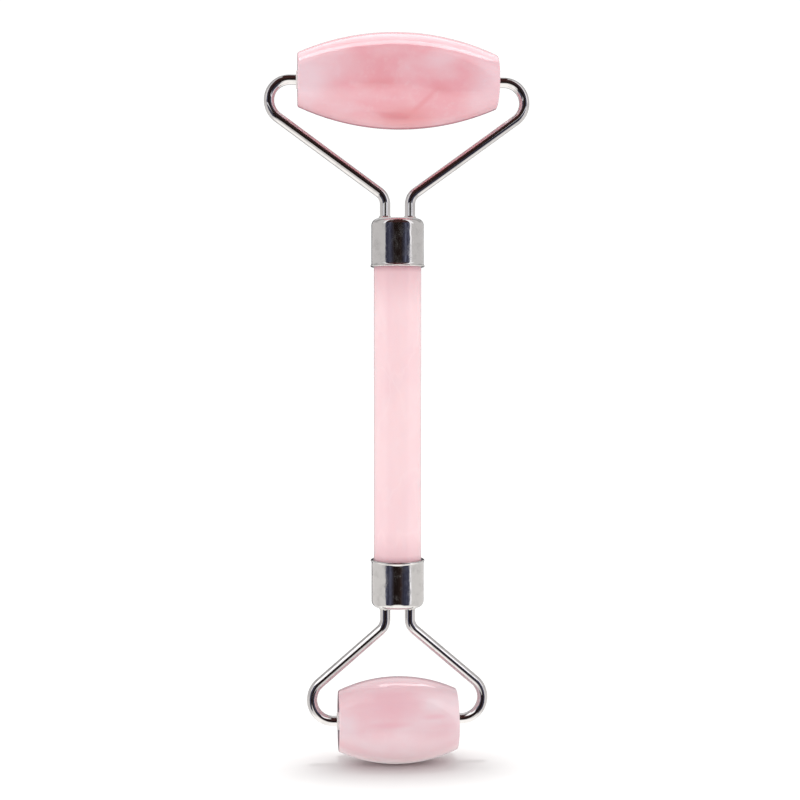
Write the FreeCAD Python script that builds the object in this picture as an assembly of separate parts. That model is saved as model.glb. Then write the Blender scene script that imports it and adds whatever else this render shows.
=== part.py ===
import FreeCAD, Part

import math
import os

# Two-headed stone face roller, standing on its small roller. Millimetres, +Z up along the handle.
# The origin is on the standing surface, below the middle of the small roller. X runs along the
# roller axles, and both wire forks lie in the XZ plane.

# Handle: one plain stone rod, glued into a cap at each end
handle_dia = 9.7
handle_visible_length = 60.0
handle_in_cap = 4.6
handle_edge_chamfer = 0.4

# Caps: two alike, drawn from sheet, closed at the fork end, with a rolled lip at the handle end
cap_dia = 10.7
cap_length = 9.85
cap_wall = 0.35
cap_shoulder_radius = 1.35
cap_lip_dia = 11.1
cap_lip_height = 0.75

# Forks: each is one round wire, bent back into a closed loop inside its cap
wire_dia = 2.1
wire_leg_spacing = 5.1
wire_end_chamfer = 0.25
leg_bend_radius = 3.1
loop_depth = 0.8
hole_clearance = 0.05

# From each cap's end face to its roller's axle, and the fork's widths at the wire's centre line
large_fork_reach = 27.95
large_fork_half_width = 26.1
large_fork_bend_radius = 4.2
large_fork_arm_angle = 54.0
small_fork_reach = 23.55
small_fork_half_width = 17.65
small_fork_bend_radius = 4.5
small_fork_arm_angle = 49.3

# Roller stones: barrels bored right through, turned to a circular arc
large_stone_length = 40.7
large_stone_mid_dia = 19.4
large_stone_end_dia = 10.8
small_stone_length = 24.5
small_stone_mid_dia = 17.7
small_stone_end_dia = 12.3
stone_edge_radius = 0.45

# Bushes: four alike, moulded in nylon, pressed into the stones' bores with a thin lip outside
bush_dia = 3.0
bush_length = 6.0
bush_lip_dia = 3.6
bush_lip_thickness = 0.3
running_clearance = 0.05
pin_past_bush = 0.5

# Braze: a small hollow-sided bead round each wire where it enters its cap, with blunt edges
braze_base_radius = 1.45
braze_height = 0.55
braze_edge = 0.12
braze_hollow_share = 0.15

# Glue: fills the closed end of each cap and the thin gap round the handle, short of the lip
glue_recess = 1.0

wire_radius = wire_dia / 2
handle_bottom = small_stone_mid_dia / 2 + small_fork_reach + cap_length
handle_top = handle_bottom + handle_visible_length
small_cap_end = handle_bottom - cap_length
large_cap_end = handle_top + cap_length
small_axle_height = small_cap_end - small_fork_reach
large_axle_height = large_cap_end + large_fork_reach

UP = FreeCAD.Vector(0, 0, 1)
ALONG_AXLE = FreeCAD.Vector(1, 0, 0)


def at(x, z):
    """A point in the plane of the forks."""
    return FreeCAD.Vector(x, 0, z)


def line(start, end):
    return Part.LineSegment(start, end).toShape()


def arc(start, middle, end):
    return Part.Arc(start, middle, end).toShape()


def turned(edges, centre, axis):
    """The solid that a closed outline in the XZ plane sweeps in a full turn."""
    return Part.Face(Part.Wire(edges)).revolve(centre, axis, 360)


def cylinder(radius, length, start, axis):
    return Part.makeCylinder(radius, length, start, axis)


def circles_at(shape, centres, radius):
    """The circular edges of a shape with one of these centres and this radius."""
    found = []
    for edge in shape.Edges:
        curve = edge.Curve
        if not isinstance(curve, Part.Circle) or abs(curve.Radius - radius) > 1e-6:
            continue
        if any(curve.Center.distanceToPoint(centre) < 1e-6 for centre in centres):
            found.append(edge)
    return found


def stand_at(shape, height, pointing_up):
    """Moves a shape made about its cap's end face to that cap, pointing up or down."""
    placed = shape.copy()
    if not pointing_up:
        placed.rotate(at(0, 0), ALONG_AXLE, 180)
    placed.translate(at(0, height))
    return placed


def rounded_path(corners, radii):
    """A line through the corners, each inner one rounded to its radius, as one wire."""
    edges = []
    last = corners[0]
    for before, corner, after, radius in zip(corners, corners[1:], corners[2:], radii):
        back = (before - corner).normalize()
        ahead = (after - corner).normalize()
        half_angle = back.getAngle(ahead) / 2
        start = corner + back * (radius / math.tan(half_angle))
        end = corner + ahead * (radius / math.tan(half_angle))
        towards_centre = (back + ahead).normalize()
        middle = corner + towards_centre * (radius / math.sin(half_angle) - radius)
        if start.distanceToPoint(last) > 1e-6:
            edges.append(line(last, start))
        edges.append(arc(start, middle, end))
        last = end
    edges.append(line(last, corners[-1]))
    return Part.Wire(edges)


def make_handle():
    length = handle_visible_length + 2 * handle_in_cap
    rod = cylinder(handle_dia / 2, length, at(0, handle_bottom - handle_in_cap), UP)
    ends = [at(0, handle_bottom - handle_in_cap), at(0, handle_top + handle_in_cap)]
    return rod.makeChamfer(handle_edge_chamfer, circles_at(rod, ends, handle_dia / 2))


def cap_cavity(depth_to):
    """The space inside a cap, from its closed end down to this depth below its end face."""
    radius = cap_dia / 2 - cap_wall
    corner = cap_shoulder_radius - cap_wall
    diagonal = corner * (1 - math.sqrt(0.5))
    outline = [
        line(at(0, -cap_wall), at(radius - corner, -cap_wall)),
        arc(
            at(radius - corner, -cap_wall),
            at(radius - diagonal, -cap_wall - diagonal),
            at(radius, -cap_wall - corner),
        ),
        line(at(radius, -cap_wall - corner), at(radius, -depth_to)),
        line(at(radius, -depth_to), at(0, -depth_to)),
        line(at(0, -depth_to), at(0, -cap_wall)),
    ]
    return turned(outline, at(0, 0), UP)


def make_cap():
    """A cap with its closed end face at height 0 and its open rim below, holed for the wire."""
    radius = cap_dia / 2
    diagonal = cap_shoulder_radius * (1 - math.sqrt(0.5))
    inner = radius - cap_wall
    lip = cap_lip_dia / 2
    roll = (lip - inner) / 2
    flare = cap_lip_height - roll
    flare_radius = ((lip - radius) ** 2 + flare**2) / (2 * (lip - radius))
    flare_angle = math.asin(flare / flare_radius) / 2
    outline = [
        line(at(0, 0), at(radius - cap_shoulder_radius, 0)),
        arc(
            at(radius - cap_shoulder_radius, 0),
            at(radius - diagonal, -diagonal),
            at(radius, -cap_shoulder_radius),
        ),
        line(at(radius, -cap_shoulder_radius), at(radius, cap_lip_height - cap_length)),
        arc(
            at(radius, cap_lip_height - cap_length),
            at(
                radius + flare_radius * (1 - math.cos(flare_angle)),
                cap_lip_height - cap_length - flare_radius * math.sin(flare_angle),
            ),
            at(lip, roll - cap_length),
        ),
        arc(at(lip, roll - cap_length), at(inner + roll, -cap_length), at(inner, roll - cap_length)),
        line(at(inner, roll - cap_length), at(0, roll - cap_length)),
        line(at(0, roll - cap_length), at(0, 0)),
    ]
    shell = turned(outline, at(0, 0), UP).cut(cap_cavity(cap_length))
    for side in (-1, 1):
        foot = at(side * wire_leg_spacing / 2, -cap_length / 2)
        shell = shell.cut(cylinder(wire_radius + hole_clearance, cap_length, foot, UP))
    return shell


def make_fork(reach, half_width, bend_radius, arm_angle, stone_length):
    """One bent wire about its cap's end face: loop, two legs, two arms and two axle pins."""
    angle = math.radians(arm_angle)
    leg = wire_leg_spacing / 2
    loop_bottom = -cap_wall - loop_depth - leg
    bend_centre = half_width - bend_radius
    outer_corner = bend_centre + bend_radius / math.tan((math.pi / 2 - angle) / 2)
    arm_root = reach - (outer_corner - leg) / math.tan(angle)
    pin_end = stone_length / 2 - bush_length - pin_past_bush
    right = [
        at(leg, loop_bottom),
        at(leg, arm_root),
        at(outer_corner, reach),
        at(pin_end, reach),
    ]
    left = [at(-point.x, point.z) for point in reversed(right)]
    radii = [bend_radius, leg_bend_radius, leg, leg, leg_bend_radius, bend_radius]
    path = rounded_path(left + right, radii)
    section = Part.Wire(Part.makeCircle(wire_radius, left[0], ALONG_AXLE))
    wire = path.makePipeShell([section], True, False)
    return wire.makeChamfer(wire_end_chamfer, circles_at(wire, [left[0], right[-1]], wire_radius))


def make_stone(length, mid_dia, end_dia):
    """A barrel about the X axis, with its bore and rounded edges."""
    ends = [at(-length / 2, 0), at(length / 2, 0)]
    outline = [
        line(ends[0], at(-length / 2, end_dia / 2)),
        arc(at(-length / 2, end_dia / 2), at(0, mid_dia / 2), at(length / 2, end_dia / 2)),
        line(at(length / 2, end_dia / 2), ends[1]),
        line(ends[1], ends[0]),
    ]
    barrel = turned(outline, at(0, 0), ALONG_AXLE)
    barrel = barrel.makeFillet(stone_edge_radius, circles_at(barrel, ends, end_dia / 2))
    return barrel.cut(cylinder(bush_dia / 2, length, ends[0], ALONG_AXLE))


def make_bush(stone_length, side):
    """A lipped sleeve in one end of a stone that lies about the X axis."""
    outward = ALONG_AXLE * side
    face = outward * (stone_length / 2)
    sleeve = cylinder(bush_dia / 2, bush_length, face - outward * bush_length, outward)
    lip = cylinder(bush_lip_dia / 2, bush_lip_thickness, face, outward)
    bore_length = bush_length + bush_lip_thickness
    bore_start = face - outward * bush_length
    bore = cylinder(wire_radius + running_clearance, bore_length, bore_start, outward)
    return sleeve.fuse(lip).removeSplitter().cut(bore)


def make_braze(side):
    """The bead round one leg of a fork, on its cap's end face."""
    inner_foot = at(wire_radius, 0)
    outer_foot = at(braze_base_radius, 0)
    outer_edge = at(braze_base_radius, braze_edge)
    top_edge = at(wire_radius + braze_edge, braze_height)
    top = at(wire_radius, braze_height)
    across = top_edge - outer_edge
    sag = FreeCAD.Vector(-across.z, 0, across.x) * braze_hollow_share
    outline = [
        line(inner_foot, outer_foot),
        line(outer_foot, outer_edge),
        arc(outer_edge, outer_edge + across / 2 + sag, top_edge),
        line(top_edge, top),
        line(top, inner_foot),
    ]
    bead = turned(outline, at(0, 0), UP)
    bead.translate(at(side * wire_leg_spacing / 2, 0))
    return bead


def make_glue(handle, fork, pointing_up, cap_end):
    """What is left of a cap's inside once the handle and the fork are in it."""
    space = stand_at(cap_cavity(cap_length - glue_recess), cap_end, pointing_up)
    return space.cut(handle).cut(fork)


def write(name, shape):
    """Writes one solid, after a check that it is sound and in one piece."""
    solids = shape.Solids
    if len(solids) != 1 or not solids[0].isValid():
        raise ValueError(f"{name} is not one sound solid: {len(solids)} found")
    solids[0].exportStep(f"parts/{name}.step")
    box = solids[0].BoundBox
    print(f"{name:24} {box.XLength:7.2f} {box.YLength:7.2f} {box.ZLength:7.2f}  z {box.ZMin:.2f}")


def write_head(name, handle, fork, stone, cap_end, axle_height, pointing_up):
    """Writes the cap, fork, roller and joining pieces at one end of the handle."""
    placed_fork = stand_at(make_fork(*fork), cap_end, pointing_up)
    write(f"{name}_cap", stand_at(make_cap(), cap_end, pointing_up))
    write(f"{name}_fork_wire", placed_fork)
    write(f"{name}_cap_glue", make_glue(handle, placed_fork, pointing_up, cap_end))
    roller_stone = make_stone(*stone)
    roller_stone.translate(at(0, axle_height))
    write(f"{name}_roller_stone", roller_stone)
    for side, word in ((-1, "left"), (1, "right")):
        write(f"{name}_{word}_braze", stand_at(make_braze(side), cap_end, pointing_up))
        bush = make_bush(stone[0], side)
        bush.translate(at(0, axle_height))
        write(f"{name}_{word}_bush", bush)


os.makedirs("parts", exist_ok=True)

large_stone = (large_stone_length, large_stone_mid_dia, large_stone_end_dia)
small_stone = (small_stone_length, small_stone_mid_dia, small_stone_end_dia)
large_fork = (
    large_fork_reach,
    large_fork_half_width,
    large_fork_bend_radius,
    large_fork_arm_angle,
    large_stone_length,
)
small_fork = (
    small_fork_reach,
    small_fork_half_width,
    small_fork_bend_radius,
    small_fork_arm_angle,
    small_stone_length,
)

handle = make_handle()
write("handle_rod", handle)
write_head(
    "large",
    handle,
    large_fork,
    large_stone,
    large_cap_end,
    large_axle_height,
    pointing_up=True,
)
write_head(
    "small",
    handle,
    small_fork,
    small_stone,
    small_cap_end,
    small_axle_height,
    pointing_up=False,
)
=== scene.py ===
import math

import bmesh
import bpy
from mathutils import Matrix, Vector, noise


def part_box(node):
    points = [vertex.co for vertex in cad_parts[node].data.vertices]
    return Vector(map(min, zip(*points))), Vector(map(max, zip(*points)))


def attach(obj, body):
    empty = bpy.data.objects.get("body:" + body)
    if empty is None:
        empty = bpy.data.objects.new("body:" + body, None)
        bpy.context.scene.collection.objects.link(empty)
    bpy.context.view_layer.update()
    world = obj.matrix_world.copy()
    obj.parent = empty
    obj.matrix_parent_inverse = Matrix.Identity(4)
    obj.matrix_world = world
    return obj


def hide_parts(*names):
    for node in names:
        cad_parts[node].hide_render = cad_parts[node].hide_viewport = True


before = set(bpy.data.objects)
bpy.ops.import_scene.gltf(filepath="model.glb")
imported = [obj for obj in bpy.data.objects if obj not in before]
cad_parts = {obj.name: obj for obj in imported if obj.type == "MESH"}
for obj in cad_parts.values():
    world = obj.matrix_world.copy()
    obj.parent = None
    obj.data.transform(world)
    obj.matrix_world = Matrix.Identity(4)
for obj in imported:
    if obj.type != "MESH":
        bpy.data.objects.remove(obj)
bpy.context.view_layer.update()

MM = 0.001

# Sizes in millimetres. Places come from the frame.
HANDLE_DIA = 9.7
HANDLE_EDGE = 0.4
CAP_DIA = 10.7
CAP_LENGTH = 9.85
CAP_WALL = 0.35
CAP_SHOULDER = 1.35
CAP_LIP_DIA = 11.1
CAP_LIP_HEIGHT = 0.75
WIRE_DIA = 2.1
WIRE_END_EDGE = 0.25
LEG_BEND_RADIUS = 3.1
LOOP_DEPTH = 0.8
HOLE_CLEARANCE = 0.05
HOLE_REACH = 2
BUSH_DIA = 3.0
BUSH_LENGTH = 6.0
BUSH_LIP_DIA = 3.6
BUSH_LIP = 0.3
BUSH_EDGE = 0.08
RUNNING_CLEARANCE = 0.05
PIN_PAST_BUSH = 0.5
STONE_EDGE = 0.45
BORE_EDGE = 0.12
BRAZE_BASE = 1.45
BRAZE_HEIGHT = 0.55
BRAZE_EDGE = 0.12

# Each head: fork bend radius, arm angle from the handle's line, and the stone's diameter at its ends
HEADS = {
    "large": {"bend": 4.2, "arm": 54.0, "end_dia": 10.8, "up": 1},
    "small": {"bend": 4.5, "arm": 49.3, "end_dia": 12.3, "up": -1},
}

# Points round a wide turned piece, a narrow one and the wire
AROUND_LARGE = 160
AROUND_SMALL = 64
AROUND_WIRE = 40
ROUTE_STEP = 0.8
BEND_STEP_DEG = 3
BARREL_STEPS = 96
SHARP_DEG = 35
TINY = 1e-6


# ---------------------------------------------------------------- shapes


def arc_points(centre, radius, start_deg, end_deg, count):
    """Points along an arc in a flat (u, v) profile, both ends included."""
    points = []
    for i in range(count + 1):
        a = math.radians(start_deg + (end_deg - start_deg) * i / count)
        points.append((centre[0] + radius * math.cos(a), centre[1] + radius * math.sin(a)))
    return points


def with_supports(profile, inset=0.06, longest=1.6):
    """The closed profile with extra points just inside each long straight run."""
    out = []
    for p, q in zip(profile, profile[1:] + profile[:1]):
        out.append(p)
        run = math.dist(p, q)
        if run < 4 * inset:
            continue
        cuts = max(1, round(run / longest))
        shares = [inset / run] + [i / cuts for i in range(1, cuts)] + [1 - inset / run]
        out += [(p[0] + (q[0] - p[0]) * s, p[1] + (q[1] - p[1]) * s) for s in shares]
    return out


def turn(bm, profile, around):
    """Turns a closed profile of (radius, height) about Z. Points on the axis become one vertex."""
    rings = []
    for radius, height in profile:
        if radius < TINY:
            rings.append([bm.verts.new((0, 0, height))])
            continue
        ring = []
        for k in range(around):
            a = 2 * math.pi * k / around
            ring.append(bm.verts.new((radius * math.cos(a), radius * math.sin(a), height)))
        rings.append(ring)
    for low, high in zip(rings, rings[1:] + rings[:1]):
        for k in range(around):
            j = (k + 1) % around
            if len(low) > 1 and len(high) > 1:
                bm.faces.new((low[k], low[j], high[j], high[k]))
            elif len(low) > 1:
                bm.faces.new((low[k], low[j], high[0]))
            elif len(high) > 1:
                bm.faces.new((low[0], high[j], high[k]))


def shade_smooth(mesh):
    mesh.polygons.foreach_set("use_smooth", [True] * len(mesh.polygons))
    mesh.set_sharp_from_angle(angle=math.radians(SHARP_DEG))


def finish_mesh(name, bm, placed):
    """A smooth-shaded object from a bmesh in millimetres, moved to its place."""
    bmesh.ops.transform(bm, matrix=Matrix.Scale(MM, 4) @ placed, verts=bm.verts)
    bmesh.ops.recalc_face_normals(bm, faces=bm.faces)
    mesh = bpy.data.meshes.new(name)
    bm.to_mesh(mesh)
    bm.free()
    shade_smooth(mesh)
    piece = bpy.data.objects.new(name, mesh)
    bpy.context.scene.collection.objects.link(piece)
    return piece


def turned_piece(name, profile, around, placed=Matrix.Identity(4)):
    bm = bmesh.new()
    turn(bm, with_supports(profile), around)
    return finish_mesh(name, bm, placed)


def at_height(height, up=1):
    """Places a shape made about its cap's end face at that face, pointing up or down."""
    flip = Matrix.Identity(4) if up > 0 else Matrix.Rotation(math.pi, 4, "X")
    return Matrix.Translation((0, 0, height)) @ flip


def along_axle(height, side=1):
    """Lays a shape made about Z along the X axis at this height, its top towards the side."""
    return Matrix.Translation((0, 0, height)) @ Matrix.Rotation(side * math.pi / 2, 4, "Y")


def handle_profile(bottom, top):
    radius = HANDLE_DIA / 2
    return [
        (0, bottom),
        (radius - HANDLE_EDGE, bottom),
        (radius, bottom + HANDLE_EDGE),
        (radius, top - HANDLE_EDGE),
        (radius - HANDLE_EDGE, top),
        (0, top),
    ]


def cap_profile():
    """The section of a cap with its closed end face at height 0 and its open rim below."""
    radius = CAP_DIA / 2
    inner = radius - CAP_WALL
    lip = CAP_LIP_DIA / 2
    roll = (lip - inner) / 2
    rim = -CAP_LENGTH
    flare = CAP_LIP_HEIGHT - roll
    flare_radius = ((lip - radius) ** 2 + flare**2) / (2 * (lip - radius))
    flare_deg = math.degrees(math.asin(flare / flare_radius))
    corner = CAP_SHOULDER - CAP_WALL
    profile = [(0, 0)]
    profile += arc_points((radius - CAP_SHOULDER, -CAP_SHOULDER), CAP_SHOULDER, 90, 0, 24)
    flare_centre = (radius + flare_radius, rim + CAP_LIP_HEIGHT)
    profile += arc_points(flare_centre, flare_radius, 180, 180 + flare_deg, 8)
    profile += arc_points((inner + roll, rim + roll), roll, 0, -180, 16)[1:]
    profile += arc_points((radius - CAP_SHOULDER, -CAP_SHOULDER), corner, 0, 90, 10)
    profile += [(0, -CAP_WALL)]
    return profile


def cut(piece, cutters):
    """Cuts each cutter from the piece, and deletes the cutters."""
    for cutter in cutters:
        modifier = piece.modifiers.new("cut", "BOOLEAN")
        modifier.operation = "DIFFERENCE"
        modifier.solver = "EXACT"
        modifier.object = cutter
    bpy.context.view_layer.update()
    evaluated = piece.evaluated_get(bpy.context.evaluated_depsgraph_get())
    mesh = bpy.data.meshes.new_from_object(evaluated)
    piece.modifiers.clear()
    old = piece.data
    piece.data = mesh
    bpy.data.meshes.remove(old)
    mesh.name = piece.name
    shade_smooth(mesh)
    for cutter in cutters:
        bpy.data.objects.remove(cutter)


def stone_profile(length, mid_dia, end_dia):
    """A barrel's section about its own axle: an arc outside, rounded edges, and the bore."""
    half, end, mid = length / 2, end_dia / 2, mid_dia / 2
    rise = mid - end
    barrel = (half**2 + rise**2) / (2 * rise)
    centre = mid - barrel
    edge_u = half - STONE_EDGE
    edge_v = centre + math.sqrt((barrel - STONE_EDGE) ** 2 - edge_u**2)
    lean = math.degrees(math.atan2(edge_u, edge_v - centre))
    bore = BUSH_DIA / 2
    profile = [(bore, -half + BORE_EDGE), (bore + BORE_EDGE, -half)]
    profile += [(v, u) for u, v in arc_points((-edge_u, edge_v), STONE_EDGE, 180, 90 + lean, 8)]
    for i in range(1, BARREL_STEPS):
        a = math.radians(-lean + 2 * lean * i / BARREL_STEPS)
        profile.append((centre + barrel * math.cos(a), barrel * math.sin(a)))
    profile += [(v, u) for u, v in arc_points((edge_u, edge_v), STONE_EDGE, 90 - lean, 0, 8)]
    profile += [(bore + BORE_EDGE, half), (bore, half - BORE_EDGE)]
    return profile


def bush_profile(face):
    """A lipped sleeve's section: the stone's end face is at this height, and the lip is above."""
    bore = WIRE_DIA / 2 + RUNNING_CLEARANCE
    outer, lip, top = BUSH_DIA / 2, BUSH_LIP_DIA / 2, face + BUSH_LIP
    profile = [(bore, face - BUSH_LENGTH), (outer, face - BUSH_LENGTH), (outer, face), (lip, face)]
    profile += arc_points((lip - BUSH_EDGE, top - BUSH_EDGE), BUSH_EDGE, 0, 90, 4)
    profile += arc_points((bore + BUSH_EDGE, top - BUSH_EDGE), BUSH_EDGE, 90, 180, 4)
    return profile


def braze_piece(name, leg_x, placed):
    """A solder bead round one leg, its edge a little uneven."""
    wire = WIRE_DIA / 2
    profile = [(wire, 0), (BRAZE_BASE, 0), (BRAZE_BASE, BRAZE_EDGE)]
    side = (wire + BRAZE_EDGE - BRAZE_BASE, BRAZE_HEIGHT - BRAZE_EDGE)
    for i in range(1, 9):
        share = i / 8
        sag = 0.6 * share * (1 - share)
        profile.append((
            BRAZE_BASE + side[0] * share - side[1] * sag,
            BRAZE_EDGE + side[1] * share + side[0] * sag,
        ))
    profile.append((wire, BRAZE_HEIGHT))
    bm = bmesh.new()
    turn(bm, profile, AROUND_SMALL)
    for vert in bm.verts:
        radial = vert.co.xy.length
        if radial > wire + 0.02 and vert.co.z > 0.01:
            wave = noise.noise(Vector((vert.co.x, vert.co.y, leg_x)) * 1.7)
            vert.co.z *= 1 + 0.16 * wave
            vert.co.xy *= 1 + 0.035 * wave
    return finish_mesh(name, bm, placed @ Matrix.Translation((leg_x, 0, 0)))


def rounded_route(corners, radii):
    """Points and directions along a line through flat (x, z) corners, each rounded."""
    route = []

    def run(start, end):
        gap = (end - start).length
        if gap < TINY:
            return
        cuts = max(1, round(gap / ROUTE_STEP))
        shares = [0] + [i / cuts for i in range(1, cuts)] + [1]
        route.extend((start.lerp(end, s), (end - start).normalized()) for s in shares)

    last = corners[0]
    for before, corner, after, radius in zip(corners, corners[1:], corners[2:], radii):
        back = (before - corner).normalized()
        ahead = (after - corner).normalized()
        half = back.angle(ahead) / 2
        start = corner + back * radius / math.tan(half)
        end = corner + ahead * radius / math.tan(half)
        centre = corner + (back + ahead).normalized() * radius / math.sin(half)
        run(last, start)
        sweep = math.pi - 2 * half
        turn_way = 1 if back.x * ahead.y - back.y * ahead.x < 0 else -1
        steps = max(4, round(math.degrees(sweep) / BEND_STEP_DEG))
        spoke = start - centre
        for i in range(1, steps):
            a = turn_way * sweep * i / steps
            c, s = math.cos(a), math.sin(a)
            spot = centre + Vector((spoke.x * c - spoke.y * s, spoke.x * s + spoke.y * c))
            ahead_now = Vector((-back.x * c + back.y * s, -back.x * s - back.y * c))
            route.append((spot, ahead_now))
        last = end
    run(last, corners[-1])
    return route


def fork_piece(name, head, reach, half_width, leg, pin_end, placed):
    """One bent wire: its loop, two legs, two arms and two axle pins."""
    angle = math.radians(head["arm"])
    loop_bottom = -CAP_WALL - LOOP_DEPTH - leg
    outer = half_width - head["bend"] + head["bend"] / math.tan((math.pi / 2 - angle) / 2)
    arm_root = reach - (outer - leg) / math.tan(angle)
    right = [(leg, loop_bottom), (leg, arm_root), (outer, reach), (pin_end, reach)]
    corners = [Vector((-x, z)) for x, z in reversed(right)] + [Vector(p) for p in right]
    radii = [head["bend"], LEG_BEND_RADIUS, leg, leg, LEG_BEND_RADIUS, head["bend"]]
    route = rounded_route(corners, radii)
    radius = WIRE_DIA / 2
    edge = WIRE_END_EDGE
    bm = bmesh.new()

    def ring(spot, ahead, size):
        side = Vector((ahead.y, -ahead.x))
        made = []
        for k in range(AROUND_WIRE):
            a = 2 * math.pi * k / AROUND_WIRE
            flat = spot + side * size * math.cos(a)
            made.append(bm.verts.new((flat.x, size * math.sin(a), flat.y)))
        return made

    first, last = route[0], route[-1]
    rings = [ring(first[0], first[1], radius - edge)]
    rings.append(ring(first[0] + first[1] * edge, first[1], radius))
    kept = [p for p in route if edge * 2 < (p[0] - first[0]).length]
    kept = [p for p in kept if edge * 2 < (p[0] - last[0]).length]
    for i, (spot, ahead) in enumerate(kept):
        if i and (spot - kept[i - 1][0]).length < 10 * TINY:
            continue
        rings.append(ring(spot, ahead, radius))
    rings.append(ring(last[0] - last[1] * edge, last[1], radius))
    rings.append(ring(last[0], last[1], radius - edge))
    for low, high in zip(rings, rings[1:]):
        for k in range(AROUND_WIRE):
            j = (k + 1) % AROUND_WIRE
            bm.faces.new((low[k], low[j], high[j], high[k]))
    bm.faces.new(rings[0])
    bm.faces.new(rings[-1])
    return finish_mesh(name, bm, placed)


# ---------------------------------------------------------------- materials


class Graph:
    """Short names for the nodes that the materials and the world are made of."""

    def __init__(self, tree):
        self.tree = tree
        self.tree.nodes.clear()

    def node(self, kind, inputs=None, **settings):
        made = self.tree.nodes.new(kind)
        for key, value in settings.items():
            setattr(made, key, value)
        for key, value in (inputs or {}).items():
            self.feed(made.inputs[key], value)
        return made

    def feed(self, socket, value):
        if isinstance(value, bpy.types.NodeSocket):
            self.tree.links.new(value, socket)
        else:
            socket.default_value = value

    def math(self, operation, first, second=0.0):
        return self.node("ShaderNodeMath", {0: first, 1: second}, operation=operation).outputs[0]

    def times(self, first, second):
        return self.math("MULTIPLY", first, second)

    def degrees(self, operation, first, second=0.0):
        """An inverse trigonometric function's answer, in degrees."""
        return self.times(self.math(operation, first, second), 180 / math.pi)

    def vector(self, operation, first, second=None):
        inputs = {0: first}
        if second is not None:
            inputs[1] = second
        return self.node("ShaderNodeVectorMath", inputs, operation=operation).outputs[0]

    def step(self, value, low, high, bottom=0.0, top=1.0):
        """Rises smoothly from bottom to top while the value goes from low to high."""
        inputs = {"Value": value, "From Min": low, "From Max": high, "To Min": bottom, "To Max": top}
        made = self.node("ShaderNodeMapRange", inputs, interpolation_type="SMOOTHSTEP")
        return made.outputs[0]

    def within(self, value, low, high, soft):
        """1 between low and high, falling to 0 across a soft edge outside each."""
        rising = self.step(value, low - soft, low)
        falling = self.step(value, high, high + soft, 1.0, 0.0)
        return self.times(rising, falling)

    def mix(self, share, first, second):
        made = self.node("ShaderNodeMix", {0: share, 6: first, 7: second}, data_type="RGBA")
        return made.outputs[2]

    def noise(self, vector, scale, detail=2.0, roughness=0.5, distortion=0.0):
        inputs = {
            "Vector": vector,
            "Scale": scale,
            "Detail": detail,
            "Roughness": roughness,
            "Distortion": distortion,
        }
        return self.node("ShaderNodeTexNoise", inputs).outputs[0]

    def patch(self, vector, centre, size, tilt_deg=0.0):
        """1 at the centre of a soft egg-shaped patch, 0 outside it. Tilt turns it about Y."""
        placed = self.vector("SUBTRACT", vector, centre)
        turned = self.node(
            "ShaderNodeVectorRotate",
            {"Vector": placed, "Angle": math.radians(tilt_deg)},
            rotation_type="Y_AXIS",
        ).outputs[0]
        scaled = self.vector("DIVIDE", turned, size)
        length = self.node("ShaderNodeVectorMath", {0: scaled}, operation="LENGTH").outputs["Value"]
        return self.step(length, 0.15, 1.0, 1.0, 0.0)


def rgb(red, green, blue):
    return (red, green, blue, 1.0)


def new_material(name):
    material = bpy.data.materials.new(name)
    material.use_nodes = True
    graph = Graph(material.node_tree)
    shader = graph.node("ShaderNodeBsdfPrincipled")
    output = graph.node("ShaderNodeOutputMaterial")
    graph.tree.links.new(shader.outputs[0], output.inputs[0])
    return material, graph, shader


def object_mm(graph, centre=(0, 0, 0)):
    """The surface point in millimetres from a centre on the object."""
    place = graph.node("ShaderNodeTexCoord").outputs["Object"]
    in_mm = graph.vector("MULTIPLY", place, (1000, 1000, 1000))
    return graph.vector("SUBTRACT", in_mm, centre)


def bump(graph, shader, height, distance_mm, strength=1.0, below=None):
    inputs = {"Height": height, "Distance": distance_mm * MM, "Strength": strength}
    if below is not None:
        inputs["Normal"] = below
    made = graph.node("ShaderNodeBump", inputs).outputs[0]
    graph.feed(shader.inputs["Normal"], made)
    return made


def stone_finish(graph, shader, place, rough=0.06):
    """Polished stone's gloss: soft smudges, a slight hand-polished waviness and fine pits."""
    smudge = graph.noise(place, 0.35, 3.0, 0.6)
    grain = graph.noise(place, 3.2, 2.0, 0.6)
    soft = graph.step(smudge, 0.35, 0.70, rough, rough + 0.05)
    fine = graph.times(grain, 0.02)
    graph.feed(shader.inputs["Roughness"], graph.math("ADD", soft, fine))
    wave = graph.noise(place, 0.22, 1.0, 0.4)
    first = bump(graph, shader, wave, 0.10, 0.6)
    bump(graph, shader, grain, 0.004, 0.5, first)
    shader.inputs["IOR"].default_value = 1.54
    shader.inputs["Subsurface Weight"].default_value = 0.25
    shader.inputs["Subsurface Radius"].default_value = (1.0, 0.5, 0.45)
    shader.inputs["Subsurface Scale"].default_value = 2.0 * MM


def veins(graph, place, scale, stretch, width):
    """Thin wandering lines: where a stretched noise passes through its middle value."""
    wander = graph.noise(graph.vector("MULTIPLY", place, stretch), scale, 3.0, 0.55, 0.6)
    off = graph.math("ABSOLUTE", graph.math("SUBTRACT", wander, 0.5))
    return graph.step(off, 0.0, width, 1.0, 0.0)


def clouded(graph, place, colour, patches):
    """Lays soft patches over a colour: each is a tone, a centre, a size, a tilt and a share."""
    for tone, centre, size, tilt, share in patches:
        patch = graph.patch(place, centre, size, tilt)
        colour = graph.mix(graph.times(patch, share), colour, tone)
    return colour


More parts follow.
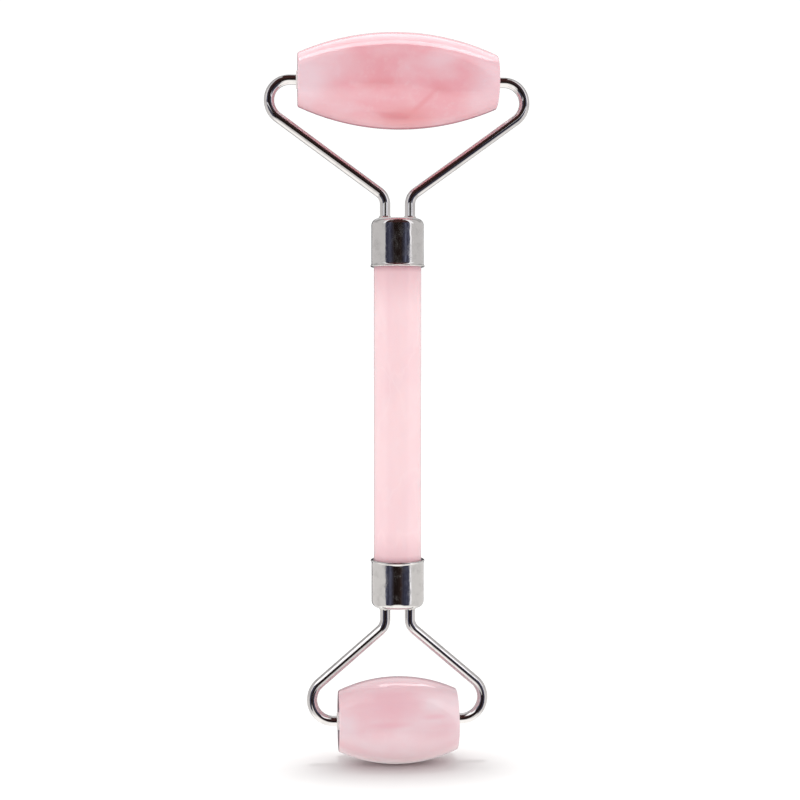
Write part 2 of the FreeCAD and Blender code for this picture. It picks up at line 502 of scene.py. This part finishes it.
def large_stone_material(axle):
    material, graph, shader = new_material("rose_stone_clouded")
    place = object_mm(graph, (0, 0, axle))
    mid, pale, deep = rgb(0.76, 0.365, 0.41), rgb(0.79, 0.61, 0.66), rgb(0.71, 0.26, 0.28)
    cloud = graph.noise(place, 0.085, 4.0, 0.55, 0.5)
    wisps = graph.noise(graph.vector("MULTIPLY", place, (0.7, 1.3, 1.3)), 0.16, 2.5, 0.5, 0.5)
    speck = graph.noise(place, 0.7, 4.0, 0.65)
    colour = graph.mix(graph.step(cloud, 0.42, 0.68, 0.0, 0.22), mid, pale)
    colour = graph.mix(graph.step(wisps, 0.50, 0.72, 0.0, 0.20), colour, pale)
    colour = graph.mix(graph.step(wisps, 0.48, 0.28, 0.0, 0.16), colour, deep)
    colour = graph.mix(graph.step(speck, 0.50, 0.70, 0.0, 0.14), colour, pale)
    patches = (
        (pale, (-19, -6, -0.8), (9, 10, 9), 0, 0.85),
        (pale, (-12, -8, 2.2), (6, 7, 5), 0, 0.35),
        (pale, (-12, -7, -6.6), (6, 7, 5), 0, 0.30),
        (pale, (19, -5, -1.5), (8, 10, 10), 0, 0.55),
        (pale, (8, -8, 2.8), (6, 6, 3), 10, 0.42),
        (pale, (-2, -8, 4.4), (5, 6, 2.2), 10, 0.20),
        # This patch makes the front of the underside darker and a deeper pink
        (deep, (1, -5, -8.3), (9, 9, 4), 0, 0.80),
        (deep, (-5, -9, -2.3), (6, 6, 1.8), 5, 0.45),
        (deep, (8, -9, -2.8), (4, 5, 1.6), -20, 0.35),
        (pale, (9, -9, 0.1), (5, 5, 2.0), 0, 0.28),
        (pale, (15, -7, -5.6), (5, 6, 4), 0, 0.25),
        (deep, (4, -7.6, -6.0), (7, 5, 0.8), 42, 0.50),
        (deep, (1, 6, 6), (10, 8, 6), 20, 0.45),
        (pale, (-3, 8, -5), (9, 7, 3), -15, 0.40),
    )
    graph.feed(shader.inputs["Base Color"], clouded(graph, place, colour, patches))
    stone_finish(graph, shader, place)
    return material


def small_stone_material(axle):
    material, graph, shader = new_material("rose_stone_banded")
    place = object_mm(graph, (0, 0, axle))
    mid, pale, deep = rgb(0.79, 0.54, 0.58), rgb(0.80, 0.65, 0.685), rgb(0.77, 0.43, 0.49)
    bands = graph.noise(graph.vector("MULTIPLY", place, (0.35, 1.5, 1.5)), 0.17, 3.0, 0.55, 0.4)
    cloud = graph.noise(place, 0.10, 3.0, 0.5, 0.3)
    speck = graph.noise(place, 0.8, 4.0, 0.65)
    colour = graph.mix(graph.step(cloud, 0.40, 0.66, 0.0, 0.45), mid, pale)
    colour = graph.mix(graph.step(bands, 0.50, 0.68, 0.0, 0.35), colour, pale)
    colour = graph.mix(graph.step(bands, 0.50, 0.32, 0.0, 0.22), colour, deep)
    colour = graph.mix(graph.step(speck, 0.50, 0.70, 0.0, 0.14), colour, pale)
    patches = (
        (deep, (-1.5, -6.5, 5.0), (10, 8, 5.6), 0, 0.62),
        (deep, (-2.5, -8.6, 1.1), (6.5, 4, 0.9), 2, 0.55),
        (deep, (7, -7.6, 2.4), (4, 4, 0.8), 0, 0.50),
        (pale, (7, -6.5, 4.6), (4, 5, 1.8), 0, 0.70),
        (pale, (-11, -6, 0.4), (4.5, 7, 4), 0, 0.75),
        (pale, (0, -7.5, -3.2), (14, 7, 3.6), 0, 0.40),
        (pale, (12, -4.5, 3.4), (3.6, 9, 9), 0, 0.50),
        (deep, (3, 7, 4), (9, 6, 3), 12, 0.50),
        (pale, (-5, 7, -3), (7, 6, 3), -8, 0.50),
    )
    graph.feed(shader.inputs["Base Color"], clouded(graph, place, colour, patches))
    stone_finish(graph, shader, place)
    return material


def handle_material(bottom, top):
    """The palest stone. Its colour has painted shade towards the caps, which keep the light out of it.
    """
    material, graph, shader = new_material("rose_stone_pale")
    place = object_mm(graph)
    light, shade, deep = rgb(0.92, 0.67, 0.695), rgb(0.895, 0.63, 0.665), rgb(0.58, 0.30, 0.35)
    cloud = graph.noise(graph.vector("MULTIPLY", place, (1, 1, 0.35)), 0.12, 3.0, 0.5, 0.4)
    colour = graph.mix(graph.step(cloud, 0.42, 0.68), light, shade)
    milky = veins(graph, place, 0.09, (1.0, 1.0, 0.6), 0.03)
    colour = graph.mix(graph.times(milky, 0.25), colour, rgb(0.95, 0.73, 0.75))
    height = graph.node("ShaderNodeSeparateXYZ", {0: place}).outputs["Z"]
    from_top = graph.math("SUBTRACT", top, height)
    from_bottom = graph.math("SUBTRACT", height, bottom)
    # Painted shade: near each cap the colour is mixed towards deep, more strongly and further from the
    # top cap than from the bottom one
    for depth, near, far, reach in ((from_top, 0.80, 0.42, 10.0), (from_bottom, 0.60, 0.34, 6.5)):
        close = graph.step(depth, 0.0, 2.4, near, 0.0)
        wide = graph.step(depth, 0.0, reach, far, 0.0)
        colour = graph.mix(graph.math("MAXIMUM", close, wide), colour, deep)
    graph.feed(shader.inputs["Base Color"], colour)
    stone_finish(graph, shader, place, 0.16)
    return material


def plated_material(name, tint, rough, wave, scratch_stretch, haze=0.0):
    """Bright plating with faint cloudy wear, hairline scratches and a soft waviness."""
    material, graph, shader = new_material(name)
    place = object_mm(graph)
    cloud = graph.noise(place, 0.5, 3.0, 0.6)
    hair = graph.noise(graph.vector("MULTIPLY", place, scratch_stretch), 1.0, 2.0, 0.7)
    dull = tuple(0.86 * c for c in tint[:3]) + (1.0,)
    colour = graph.mix(graph.step(cloud, 0.45, 0.75), tint, dull)
    graph.feed(shader.inputs["Base Color"], colour)
    shader.inputs["Metallic"].default_value = 1.0
    worn = graph.step(cloud, 0.40, 0.80, rough, rough + 0.10)
    scratched = graph.step(hair, 0.58, 0.80, 0.0, 0.08)
    roughness = graph.math("ADD", worn, scratched)
    if haze:
        spots = graph.noise(graph.vector("MULTIPLY", place, (1, 1, 0.6)), 0.9, 3.0, 0.6)
        roughness = graph.math("ADD", roughness, graph.step(spots, 0.42, 0.70, 0.0, haze))
    graph.feed(shader.inputs["Roughness"], roughness)
    waves = graph.noise(place, 0.45, 1.0, 0.5)
    first = bump(graph, shader, waves, wave, 0.7)
    bump(graph, shader, hair, 0.002, 0.5, first)
    return material


def braze_material():
    """Silver solder: duller than the plating, with a pebbled skin."""
    material, graph, shader = new_material("silver_braze")
    place = object_mm(graph)
    pebble = graph.noise(place, 3.5, 3.0, 0.6)
    colour = graph.mix(pebble, rgb(0.80, 0.79, 0.77), rgb(0.60, 0.58, 0.56))
    graph.feed(shader.inputs["Base Color"], colour)
    shader.inputs["Metallic"].default_value = 1.0
    graph.feed(shader.inputs["Roughness"], graph.step(pebble, 0.3, 0.7, 0.14, 0.30))
    bump(graph, shader, pebble, 0.03, 0.6)
    return material


def nylon_material():
    """Natural white nylon with a faint moulded grain."""
    material, graph, shader = new_material("natural_nylon")
    place = object_mm(graph)
    grain = graph.noise(place, 6.0, 3.0, 0.6)
    tone = graph.noise(place, 0.9, 2.0, 0.5)
    colour = graph.mix(tone, rgb(0.86, 0.84, 0.82), rgb(0.80, 0.77, 0.75))
    graph.feed(shader.inputs["Base Color"], colour)
    graph.feed(shader.inputs["Roughness"], graph.step(grain, 0.3, 0.7, 0.35, 0.5))
    bump(graph, shader, grain, 0.01, 0.4)
    return material


def glue_material():
    """Set epoxy, yellowish and cloudy."""
    material, graph, shader = new_material("set_epoxy")
    place = object_mm(graph)
    cloud = graph.noise(place, 0.8, 3.0, 0.6)
    colour = graph.mix(cloud, rgb(0.74, 0.66, 0.48), rgb(0.62, 0.52, 0.34))
    graph.feed(shader.inputs["Base Color"], colour)
    graph.feed(shader.inputs["Roughness"], graph.step(cloud, 0.3, 0.7, 0.25, 0.45))
    bump(graph, shader, cloud, 0.02, 0.5)
    return material


def give(piece, material):
    piece.data.materials.clear()
    piece.data.materials.append(material)


# ---------------------------------------------------------------- the roller


def add(piece, body, node, material):
    give(piece, material)
    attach(piece, body)
    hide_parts(node)


def mm_box(node):
    low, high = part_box(node)
    return low / MM, high / MM


wire_plating = plated_material("wire_plating", rgb(0.66, 0.65, 0.65), 0.04, 0.008, (3, 3, 3))
cap_plating = plated_material("cap_plating", rgb(0.66, 0.655, 0.65), 0.05, 0.07, (9, 9, 0.5), 0.16)
braze = braze_material()
nylon = nylon_material()
glue = glue_material()

rod_low, rod_high = mm_box("handle_rod")
handle_bottom = mm_box("small_cap")[1].z
handle_top = mm_box("large_cap")[0].z
rod = turned_piece("handle_stone_rod", handle_profile(rod_low.z, rod_high.z), AROUND_LARGE)
add(rod, "frame", "handle_rod", handle_material(handle_bottom, handle_top))

for head_name, head in HEADS.items():
    up = head["up"]
    cap_low, cap_high = mm_box(f"{head_name}_cap")
    cap_end = cap_high.z if up > 0 else cap_low.z
    stone_low, stone_high = mm_box(f"{head_name}_roller_stone")
    axle = (stone_low.z + stone_high.z) / 2
    length = stone_high.x - stone_low.x
    fork_low, fork_high = mm_box(f"{head_name}_fork_wire")
    braze_low, braze_high = mm_box(f"{head_name}_right_braze")
    leg = (braze_low.x + braze_high.x) / 2
    pin_end = length / 2 - BUSH_LENGTH - PIN_PAST_BUSH
    on_cap = at_height(cap_end, up)

    cap = turned_piece(f"{head_name}_cap_shell", cap_profile(), AROUND_LARGE, on_cap)
    hole = WIRE_DIA / 2 + HOLE_CLEARANCE
    section = [(0, -HOLE_REACH), (hole, -HOLE_REACH), (hole, HOLE_REACH), (0, HOLE_REACH)]
    cutters = []
    for side in (-1, 1):
        placed = on_cap @ Matrix.Translation((side * leg, 0, 0))
        cutters.append(turned_piece("cutter", section, AROUND_SMALL, placed))
    cut(cap, cutters)
    add(cap, "frame", f"{head_name}_cap", cap_plating)

    reach = abs(axle - cap_end)
    half_width = fork_high.x - WIRE_DIA / 2
    fork = fork_piece(f"{head_name}_fork", head, reach, half_width, leg, pin_end, on_cap)
    add(fork, "frame", f"{head_name}_fork_wire", wire_plating)

    profile = stone_profile(length, stone_high.z - stone_low.z, head["end_dia"])
    stone = turned_piece(f"{head_name}_stone", profile, AROUND_LARGE, along_axle(axle))
    stone_material = large_stone_material if up > 0 else small_stone_material
    body = f"{head_name}_roller"
    slot = f"{head_name}_roller_stone"
    add(stone, body, slot, stone_material(axle))

    for side, word in ((-1, "left"), (1, "right")):
        bead = braze_piece(f"{head_name}_{word}_solder", side * leg, on_cap)
        add(bead, "frame", f"{head_name}_{word}_braze", braze)
        sleeve = turned_piece(
            f"{head_name}_{word}_bearing",
            bush_profile(length / 2),
            AROUND_SMALL,
            along_axle(axle, side),
        )
        add(sleeve, body, f"{head_name}_{word}_bush", nylon)
    give(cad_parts[f"{head_name}_cap_glue"], glue)


# ---------------------------------------------------------------- studio

# In metres and degrees. Azimuth 0 is the front and runs to the right, and height 0 is level.
FLOOR_RADIUS = 4.0
FLOOR_POINTS = 96
CAMERA_DISTANCE = 0.294
CAMERA_HEIGHT = 0.0853
CAMERA_AZIMUTH = -4.5
CAMERA_LENS_MM = 64.47
CAMERA_AIM_HEIGHT = 0.07505
CAMERA_AIM_RIGHT = 0.0005
SUN_WIDTH = 7
SUN_TILT = -1.7
SUN_POWER = 1.35
LEG_GLOW_ABOVE_CAP = 0.0035

DAYLIGHT = rgb(1.08, 1.08, 1.08)
WHITE_SHEET = rgb(0.76, 0.755, 0.75)
LOW_WALL, HIGH_WALL = rgb(0.90, 0.87, 0.85), rgb(0.74, 0.715, 0.71)
BACK_WALL, BACK_FLAG, REAR_FLAG = rgb(0.90, 0.89, 0.89), rgb(0.04, 0.04, 0.05), rgb(0.16, 0.16, 0.16)
WALL_LIGHT, PALE_TABLE = rgb(1.4, 1.37, 1.4), rgb(1.45, 1.41, 1.36)
WARM_DARK, WARM_BLOOM = rgb(0.016, 0.010, 0.009), rgb(0.045, 0.028, 0.025)
COOL_DARK, COOL_BLOOM = rgb(0.045, 0.045, 0.075), rgb(0.20, 0.21, 0.30)
HIGH_DARK = rgb(0.06, 0.022, 0.020)


def studio_floor():
    """A round white sheet that the roller stands on."""
    bm = bmesh.new()
    bmesh.ops.create_circle(bm, cap_ends=True, segments=FLOOR_POINTS, radius=FLOOR_RADIUS)
    mesh = bpy.data.meshes.new("studio_floor")
    bm.to_mesh(mesh)
    bm.free()
    floor = bpy.data.objects.new("studio_floor", mesh)
    bpy.context.scene.collection.objects.link(floor)
    material, graph, shader = new_material("white_sheet")
    shader.inputs["Base Color"].default_value = WHITE_SHEET
    shader.inputs["Roughness"].default_value = 0.9
    shader.inputs["Specular IOR Level"].default_value = 0.0
    give(floor, material)
    floor.visible_glossy = False
    return floor


def room_walls(graph, azimuth, height):
    """Grey walls, paler low down and behind, with lights at the sides and dark flags at the back."""
    off_front = graph.math("ABSOLUTE", azimuth)
    seen = graph.mix(graph.step(height, -13, 5), LOW_WALL, HIGH_WALL)
    seen = graph.mix(graph.step(off_front, 152, 165), seen, BACK_WALL)
    back_flag = graph.times(graph.step(off_front, 156, 160), graph.within(height, -20, 20, 4))
    seen = graph.mix(back_flag, seen, BACK_FLAG)
    rear_flags = graph.times(graph.within(off_front, 118, 150, 6), graph.step(height, 14, 26))
    seen = graph.mix(graph.times(rear_flags, 0.45), seen, REAR_FLAG)
    edge_light = graph.times(graph.within(azimuth, 52, 58, 1.5), graph.within(height, -18, 60, 5))
    high_light = graph.times(graph.within(off_front, 57, 70, 2), graph.within(height, 12, 60, 5))
    return graph.mix(graph.math("MAXIMUM", edge_light, high_light), seen, WALL_LIGHT)


def flag_colour(graph, way, off_camera, height):
    """The front flag's near-black: warm in the middle, bluer and cloudier at the sides."""
    cool = graph.step(off_camera, 14, 34)
    dark = graph.mix(cool, WARM_DARK, COOL_DARK)
    bloom = graph.mix(cool, WARM_BLOOM, COOL_BLOOM)
    cloud = graph.noise(graph.vector("MULTIPLY", way, (4.5, 4.5, 2.0)), 1.0, 3.0, 0.6)
    dark = graph.mix(graph.step(cloud, 0.45, 0.72), dark, bloom)
    return graph.mix(graph.step(height, 12, 35), dark, HIGH_DARK)


def mirrored_room(graph):
    """What gloss sees in each direction: walls, a dark flag in front and overhead, a pale table."""
    way = graph.node("ShaderNodeTexCoord").outputs["Generated"]
    split = graph.node("ShaderNodeSeparateXYZ", {0: way})
    x, y, z = split.outputs[0], split.outputs[1], split.outputs[2]
    forward = graph.times(y, -1.0)
    azimuth = graph.degrees("ARCTAN2", x, forward)
    height = graph.degrees("ARCSINE", z)
    over = graph.degrees("ARCTAN2", z, forward)
    off_camera = graph.math("ABSOLUTE", graph.math("ADD", azimuth, 4.0))
    off_middle = graph.math("ABSOLUTE", x)

    table_drop = graph.step(off_camera, 10, 36, 0, 15)
    above_table = graph.math("SUBTRACT", height, graph.math("SUBTRACT", -15.0, table_drop))
    band = graph.times(graph.step(off_camera, 57, 54), graph.step(height, 66, 58))
    mast = graph.times(graph.step(over, 106, 100), graph.step(off_middle, 0.28, 0.22))
    flag = graph.times(graph.math("MAXIMUM", band, mast), graph.step(above_table, -3, 0))
    flag = graph.times(flag, graph.step(forward, -0.3, -0.25))
    seen = room_walls(graph, azimuth, height)
    seen = graph.mix(flag, seen, flag_colour(graph, way, off_camera, height))
    near_table = graph.step(graph.math("ADD", height, table_drop), -22, -33)
    return graph.mix(near_table, seen, PALE_TABLE)


def studio_world():
    """Even white light. Only gloss sees the room."""
    world = bpy.data.worlds.new("studio")
    bpy.context.scene.world = world
    world.use_nodes = True
    graph = Graph(world.node_tree)
    gloss = graph.node("ShaderNodeLightPath").outputs["Is Glossy Ray"]
    colour = graph.mix(gloss, DAYLIGHT, mirrored_room(graph))
    background = graph.node("ShaderNodeBackground", {"Color": colour, "Strength": 1.0})
    output = graph.node("ShaderNodeOutputWorld")
    graph.tree.links.new(background.outputs[0], output.inputs[0])


def light_only(light, piece):
    """Lets a light reach this piece and no other."""
    group = bpy.data.collections.new(light.name + "_reach")
    group.objects.link(piece)
    light.light_linking.receiver_collection = group


def soft_box(name, piece_name, aim, way, distance, size, radiance, matt=True, gloss=True):
    """A rectangular soft box for one piece, seen by its matt colour, by its gloss or by both.

    It hangs this way from the point that it aims at, at this distance.
    """
    width, depth = size
    data = bpy.data.lights.new(name, "AREA")
    data.shape = "RECTANGLE"
    data.size, data.size_y = width, depth
    data.energy = radiance * math.pi * width * depth
    light = bpy.data.objects.new(name, data)
    bpy.context.scene.collection.objects.link(light)
    light.location = aim + Vector(way).normalized() * distance
    light.rotation_euler = (aim - light.location).to_track_quat("-Z", "Y").to_euler()
    light.visible_camera = False
    light.visible_diffuse = matt
    light.visible_glossy = gloss
    light_only(light, bpy.data.objects[piece_name])


def middle(node):
    low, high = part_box(node)
    return (low + high) / 2


def light_large_stone():
    """Top light for the stone's colour, and a pale rim with a brighter strip under it in its gloss."""
    stone, axle = "large_stone", middle("large_roller_stone")
    soft_box("top_box", stone, axle, (0, 0.43, 0.90), 0.4, (0.38, 0.29), 2.2, gloss=False)
    soft_box("rim_box", stone, axle, (0, 0.46, 0.89), 0.4, (0.60, 0.25), 1.9, matt=False)
    soft_box("strip_box", stone, axle, (0, 0.05, 1.0), 0.4, (0.60, 0.10), 4.6, matt=False)


def light_small_stone():
    """Two short dashes of light along the stone's top."""
    stone, axle = "small_stone", middle("small_roller_stone")
    soft_box("middle_dash", stone, axle, (0.08, 0.47, 0.88), 0.3, (0.13, 0.06), 3.0)
    soft_box("right_dash", stone, axle, (0.37, 0.50, 0.79), 0.3, (0.09, 0.05), 3.0)


def light_forks():
    """Pale streaks down the small fork's arms and the large fork's legs."""
    arms = middle("small_fork_wire")
    soft_box("left_box", "small_fork", arms, (-0.57, -0.55, 0.74), 0.3, (0.24, 0.24), 1.5)
    soft_box("right_box", "small_fork", arms, (0.50, -0.62, 0.62), 0.3, (0.16, 0.20), 1.5)
    legs = Vector((0, 0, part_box("large_cap")[1].z + LEG_GLOW_ABOVE_CAP))
    soft_box("leg_glow_left", "large_fork", legs, (-0.58, -0.80, 0.104), 0.3, (0.22, 0.026), 0.8)
    soft_box("leg_glow_right", "large_fork", legs, (0.54, -0.83, 0.104), 0.3, (0.18, 0.026), 0.8)


def shadow_light(floor):
    """An overhead light on the floor alone: the large stone's soft shadow falls round the foot."""
    data = bpy.data.lights.new("shadow_light", "SUN")
    data.angle = math.radians(SUN_WIDTH)
    data.energy = SUN_POWER
    light = bpy.data.objects.new("shadow_light", data)
    bpy.context.scene.collection.objects.link(light)
    light.rotation_euler = (math.radians(SUN_TILT), 0, 0)
    light_only(light, floor)


def studio_camera():
    """A camera a little above the handle's middle and a little to its left."""
    data = bpy.data.cameras.new("camera")
    data.lens = CAMERA_LENS_MM
    data.sensor_width = 36.0
    data.clip_start = 0.01
    camera = bpy.data.objects.new("camera", data)
    bpy.context.scene.collection.objects.link(camera)
    azimuth = math.radians(CAMERA_AZIMUTH)
    front = Vector((math.sin(azimuth), -math.cos(azimuth), 0))
    right = Vector((math.cos(azimuth), math.sin(azimuth), 0))
    camera.location = front * CAMERA_DISTANCE + Vector((0, 0, CAMERA_HEIGHT))
    aim = right * CAMERA_AIM_RIGHT + Vector((0, 0, CAMERA_AIM_HEIGHT))
    camera.rotation_euler = (aim - camera.location).to_track_quat("-Z", "Y").to_euler()
    bpy.context.scene.camera = camera


light_large_stone()
light_small_stone()
light_forks()
# The large stone hangs over its own fork: its gloss would draw the fork's arms along its underside
bpy.data.objects["large_fork"].visible_glossy = False
shadow_light(studio_floor())
studio_world()
studio_camera()
bpy.context.scene.view_settings.view_transform = "Standard"
